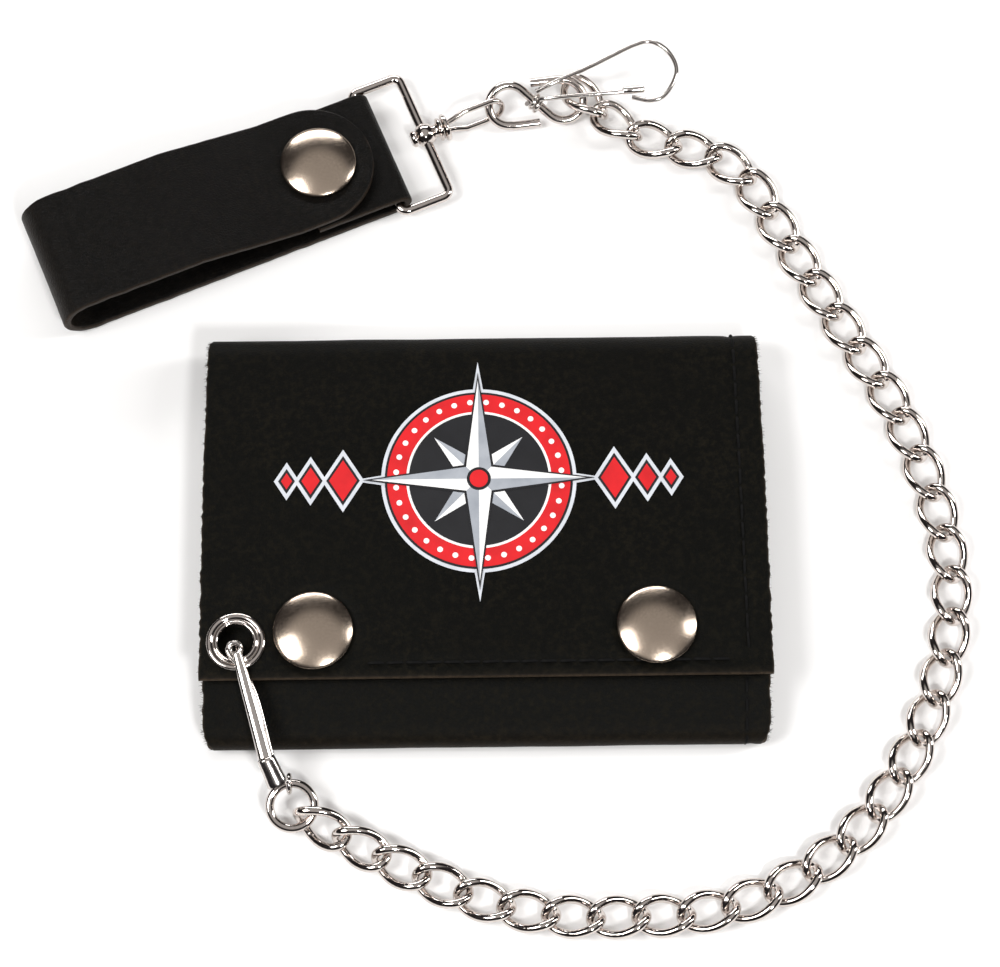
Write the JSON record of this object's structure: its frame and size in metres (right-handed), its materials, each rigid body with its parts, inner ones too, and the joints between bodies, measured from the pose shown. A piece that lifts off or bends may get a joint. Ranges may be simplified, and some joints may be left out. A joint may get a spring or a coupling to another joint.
{
  "type": "chain wallet",
  "caption": "Closed fold-over leather wallet with two snaps and a grommet, joined by a clip and curb chain to a snap hook and a snap-closed leather belt loop.",
  "frame": {"origin": "centre of the wallet's back face, where it lies on a surface", "axes": "+X right across the closed wallet, +Y towards its top fold, +Z out of its front"},
  "size_m": [0.1858, 0.1828, 0.0148],
  "materials": {
    "wallet_leather": "matte, fine grain",
    "pocket_leather": "matte split leather",
    "lining_cloth": "woven nylon",
    "window_vinyl": "clear vinyl",
    "strap_leather": "semi-gloss, fine grain",
    "cap_satin_nickel": "satin nickel",
    "fitting_nickel": "bright nickel",
    "chain_nickel": "bright nickel",
    "spring_steel": "drawn wire",
    "hook_nickel": "bright nickel"
  },
  "bodies": {
    "root": {"back_panel": "wallet_leather", "bill_lining": "lining_cloth", "card_pockets": "pocket_leather", "id_window": "window_vinyl"},
    "flap": {"front_flap": "wallet_leather", "flap_lining": "lining_cloth", "flap_snap_caps": "cap_satin_nickel", "flap_snap_sockets": "fitting_nickel", "grommet": "fitting_nickel", "grommet_washer": "fitting_nickel"},
    "inner_fold": {"inner_panel": "wallet_leather", "panel_pockets": "pocket_leather", "panel_snap_studs": "fitting_nickel"},
    "clip": {"wallet_clip": "hook_nickel"},
    "ring": {"jump_ring": "chain_nickel"},
    "link_01": {"chain_link_01": "chain_nickel"},
    "link_02": {"chain_link_02": "chain_nickel"},
    "link_03": {"chain_link_03": "chain_nickel"},
    "link_04": {"chain_link_04": "chain_nickel"},
    "link_05": {"chain_link_05": "chain_nickel"},
    "link_06": {"chain_link_06": "chain_nickel"},
    "link_07": {"chain_link_07": "chain_nickel"},
    "link_08": {"chain_link_08": "chain_nickel"},
    "link_09": {"chain_link_09": "chain_nickel"},
    "link_10": {"chain_link_10": "chain_nickel"},
    "link_11": {"chain_link_11": "chain_nickel"},
    "link_12": {"chain_link_12": "chain_nickel"},
    "link_13": {"chain_link_13": "chain_nickel"},
    "link_14": {"chain_link_14": "chain_nickel"},
    "link_15": {"chain_link_15": "chain_nickel"},
    "link_16": {"chain_link_16": "chain_nickel"},
    "link_17": {"chain_link_17": "chain_nickel"},
    "link_18": {"chain_link_18": "chain_nickel"},
    "link_19": {"chain_link_19": "chain_nickel"},
    "link_20": {"chain_link_20": "chain_nickel"},
    "link_21": {"chain_link_21": "chain_nickel"},
    "link_22": {"chain_link_22": "chain_nickel"},
    "link_23": {"chain_link_23": "chain_nickel"},
    "link_24": {"chain_link_24": "chain_nickel"},
    "link_25": {"chain_link_25": "chain_nickel"},
    "link_26": {"chain_link_26": "chain_nickel"},
    "link_27": {"chain_link_27": "chain_nickel"},
    "link_28": {"chain_link_28": "chain_nickel"},
    "link_29": {"chain_link_29": "chain_nickel"},
    "link_30": {"chain_link_30": "chain_nickel"},
    "link_31": {"chain_link_31": "chain_nickel"},
    "link_32": {"chain_link_32": "chain_nickel"},
    "link_33": {"chain_link_33": "chain_nickel"},
    "link_34": {"chain_link_34": "chain_nickel"},
    "link_35": {"chain_link_35": "chain_nickel"},
    "link_36": {"chain_link_36": "chain_nickel"},
    "hook": {"hook_body": "hook_nickel"},
    "gate": {"hook_spring": "spring_steel"},
    "swivel": {"swivel_eye": "hook_nickel"},
    "loop_ring": {"strap_ring": "hook_nickel", "swivel_barrel": "hook_nickel"},
    "belt_back": {"strap_back": "strap_leather", "belt_snap_stud": "fitting_nickel"},
    "belt_front": {"strap_front": "strap_leather", "belt_snap_cap": "cap_satin_nickel"}
  },
  "joints": [
    {"name": "flap_fold", "type": "hinge", "parent": "root", "child": "flap", "pos_m": [0, 0.04015, 0.0056], "axis": [-1, 0, 0], "range_deg": [0, 170]},
    {"name": "panel_fold", "type": "hinge", "parent": "root", "child": "inner_fold", "pos_m": [0, -0.04015, 0.0033], "axis": [1, 0, 0], "range_deg": [0, 47.6]},
    {"name": "clip_turn", "type": "hinge", "parent": "flap", "child": "clip", "pos_m": [-0.047, -0.0222, 0.0126], "axis": [0, 0, 1], "range_deg": [-14, 9]},
    {"name": "ring_hang", "type": "hinge", "parent": "clip", "child": "ring", "pos_m": [-0.0367, -0.0477, 0.005], "axis": [1, 0, 0], "range_deg": [0, 170]},
    {"name": "link_01_turn", "type": "hinge", "parent": "ring", "child": "link_01", "pos_m": [-0.03416, -0.05393, 0.00343], "axis": [0, 0, -1], "range_deg": [-5, 16]},
    {"name": "link_02_turn", "type": "hinge", "parent": "link_01", "child": "link_02", "pos_m": [-0.02755, -0.05767, 0.00315], "axis": [0, 0, 1], "range_deg": [-16, 5]},
    {"name": "link_03_turn", "type": "hinge", "parent": "link_02", "child": "link_03", "pos_m": [-0.02009, -0.06155, 0.00284], "axis": [0, 0, -1], "range_deg": [-5, 16]},
    {"name": "link_04_turn", "type": "hinge", "parent": "link_03", "child": "link_04", "pos_m": [-0.01251, -0.06516, 0.0025], "axis": [0, 0, 1], "range_deg": [-16, 5]},
    {"name": "link_05_turn", "type": "hinge", "parent": "link_04", "child": "link_05", "pos_m": [-0.00481, -0.06851, 0.00215], "axis": [0, 0, -1], "range_deg": [-5, 16]},
    {"name": "link_06_turn", "type": "hinge", "parent": "link_05", "child": "link_06", "pos_m": [0.0032, -0.07104, 0.00215], "axis": [0, 0, 1], "range_deg": [-16, 5]},
    {"name": "link_07_turn", "type": "hinge", "parent": "link_06", "child": "link_07", "pos_m": [0.01145, -0.07264, 0.00215], "axis": [0, 0, -1], "range_deg": [-5, 16]},
    {"name": "link_08_turn", "type": "hinge", "parent": "link_07", "child": "link_08", "pos_m": [0.01982, -0.0733, 0.00215], "axis": [0, 0, 1], "range_deg": [-16, 5]},
    {"name": "link_09_turn", "type": "hinge", "parent": "link_08", "child": "link_09", "pos_m": [0.02822, -0.07301, 0.00215], "axis": [0, 0, -1], "range_deg": [-5, 16]},
    {"name": "link_10_turn", "type": "hinge", "parent": "link_09", "child": "link_10", "pos_m": [0.03662, -0.07293, 0.00215], "axis": [0, 0, 1], "range_deg": [-16, 5]},
    {"name": "link_11_turn", "type": "hinge", "parent": "link_10", "child": "link_11", "pos_m": [0.0449, -0.07155, 0.00215], "axis": [0, 0, -1], "range_deg": [-5, 16]},
    {"name": "link_12_turn", "type": "hinge", "parent": "link_11", "child": "link_12", "pos_m": [0.05287, -0.06888, 0.00215], "axis": [0, 0, 1], "range_deg": [-16, 5]},
    {"name": "link_13_turn", "type": "hinge", "parent": "link_12", "child": "link_13", "pos_m": [0.06032, -0.065, 0.00215], "axis": [0, 0, -1], "range_deg": [-5, 16]},
    {"name": "link_14_turn", "type": "hinge", "parent": "link_13", "child": "link_14", "pos_m": [0.06707, -0.06001, 0.00215], "axis": [0, 0, 1], "range_deg": [-16, 5]},
    {"name": "link_15_turn", "type": "hinge", "parent": "link_14", "child": "link_15", "pos_m": [0.07296, -0.05402, 0.00215], "axis": [0, 0, -1], "range_deg": [-5, 16]},
    {"name": "link_16_turn", "type": "hinge", "parent": "link_15", "child": "link_16", "pos_m": [0.07784, -0.04718, 0.00215], "axis": [0, 0, 1], "range_deg": [-16, 5]},
    {"name": "link_17_turn", "type": "hinge", "parent": "link_16", "child": "link_17", "pos_m": [0.08197, -0.03987, 0.00215], "axis": [0, 0, -1], "range_deg": [-5, 16]},
    {"name": "link_18_turn", "type": "hinge", "parent": "link_17", "child": "link_18", "pos_m": [0.08532, -0.03216, 0.00215], "axis": [0, 0, 1], "range_deg": [-16, 5]},
    {"name": "link_19_turn", "type": "hinge", "parent": "link_18", "child": "link_19", "pos_m": [0.08785, -0.02415, 0.00215], "axis": [0, 0, -1], "range_deg": [-5, 16]},
    {"name": "link_20_turn", "type": "hinge", "parent": "link_19", "child": "link_20", "pos_m": [0.08952, -0.01592, 0.00215], "axis": [0, 0, 1], "range_deg": [-16, 5]},
    {"name": "link_21_turn", "type": "hinge", "parent": "link_20", "child": "link_21", "pos_m": [0.08989, -0.00753, 0.00215], "axis": [0, 0, -1], "range_deg": [-5, 16]},
    {"name": "link_22_turn", "type": "hinge", "parent": "link_21", "child": "link_22", "pos_m": [0.08894, 0.00082, 0.00215], "axis": [0, 0, 1], "range_deg": [-16, 5]},
    {"name": "link_23_turn", "type": "hinge", "parent": "link_22", "child": "link_23", "pos_m": [0.08726, 0.00905, 0.00215], "axis": [0, 0, -1], "range_deg": [-5, 16]},
    {"name": "link_24_turn", "type": "hinge", "parent": "link_23", "child": "link_24", "pos_m": [0.08488, 0.0171, 0.00215], "axis": [0, 0, 1], "range_deg": [-16, 5]},
    {"name": "link_25_turn", "type": "hinge", "parent": "link_24", "child": "link_25", "pos_m": [0.08187, 0.02494, 0.00215], "axis": [0, 0, -1], "range_deg": [-5, 16]},
    {"name": "link_26_turn", "type": "hinge", "parent": "link_25", "child": "link_26", "pos_m": [0.07825, 0.03253, 0.00215], "axis": [0, 0, 1], "range_deg": [-16, 5]},
    {"name": "link_27_turn", "type": "hinge", "parent": "link_26", "child": "link_27", "pos_m": [0.07405, 0.0398, 0.00215], "axis": [0, 0, -1], "range_deg": [-5, 16]},
    {"name": "link_28_turn", "type": "hinge", "parent": "link_27", "child": "link_28", "pos_m": [0.06992, 0.04711, 0.00215], "axis": [0, 0, 1], "range_deg": [-16, 5]},
    {"name": "link_29_turn", "type": "hinge", "parent": "link_28", "child": "link_29", "pos_m": [0.06584, 0.05446, 0.00215], "axis": [0, 0, -1], "range_deg": [-5, 16]},
    {"name": "link_30_turn", "type": "hinge", "parent": "link_29", "child": "link_30", "pos_m": [0.06184, 0.06184, 0.00215], "axis": [0, 0, 1], "range_deg": [-16, 5]},
    {"name": "link_31_turn", "type": "hinge", "parent": "link_30", "child": "link_31", "pos_m": [0.05789, 0.06926, 0.00215], "axis": [0, 0, -1], "range_deg": [-5, 16]},
    {"name": "link_32_turn", "type": "hinge", "parent": "link_31", "child": "link_32", "pos_m": [0.05401, 0.07671, 0.00215], "axis": [0, 0, 1], "range_deg": [-16, 2]},
    {"name": "link_33_turn", "type": "hinge", "parent": "link_32", "child": "link_33", "pos_m": [0.04744, 0.08194, 0.00215], "axis": [0, 0, -1], "range_deg": [-2, 16]},
    {"name": "link_34_turn", "type": "hinge", "parent": "link_33", "child": "link_34", "pos_m": [0.03931, 0.08404, 0.00215], "axis": [0, 0, 1], "range_deg": [-16, 5]},
    {"name": "link_35_turn", "type": "hinge", "parent": "link_34", "child": "link_35", "pos_m": [0.03127, 0.0865, 0.00276], "axis": [0, 0, -1], "range_deg": [-5, 4]},
    {"name": "link_36_turn", "type": "hinge", "parent": "link_35", "child": "link_36", "pos_m": [0.02452, 0.09149, 0.00287], "axis": [0, 0, 1], "range_deg": [-16, 5]},
    {"name": "hook_turn", "type": "hinge", "parent": "link_36", "child": "hook", "pos_m": [0.01929, 0.09701, 0.00287], "axis": [0, 0, 1], "range_deg": [-8, 4]},
    {"name": "gate_spring", "type": "hinge", "parent": "hook", "child": "gate", "pos_m": [0.01148, 0.09364, 0.00324], "axis": [0.7414, -0.5695, -0.3549], "range_deg": [0, 30], "stiffness_Nm_per_rad": 0.02},
    {"name": "swivel_link", "type": "hinge", "parent": "hook", "child": "swivel", "pos_m": [0.00195, 0.09212, 0.00295], "axis": [0, 0, 1], "range_deg": [-10, 10]},
    {"name": "swivel_spin", "type": "hinge", "parent": "swivel", "child": "loop_ring", "pos_m": [-0.01136, 0.08674, 0.00295], "axis": [0.9272, 0.3746, 0], "range_deg": [-90, 90]},
    {"name": "ring_bar", "type": "hinge", "parent": "loop_ring", "child": "belt_back", "pos_m": [-0.02118, 0.08277, 0.00295], "axis": [-0.3746, 0.9272, 0], "range_deg": [-25, 25]},
    {"name": "belt_open", "type": "hinge", "parent": "belt_back", "child": "belt_front", "pos_m": [-0.08646, 0.0564, 0.0062], "axis": [0.3746, -0.9272, 0], "range_deg": [0, 150]}
  ],
  "couplings": [
    {"joint": "panel_fold", "follows": "flap_fold", "ratio": 0.28},
    {"joint": "ring_hang", "follows": "flap_fold", "ratio": 1}
  ]
}
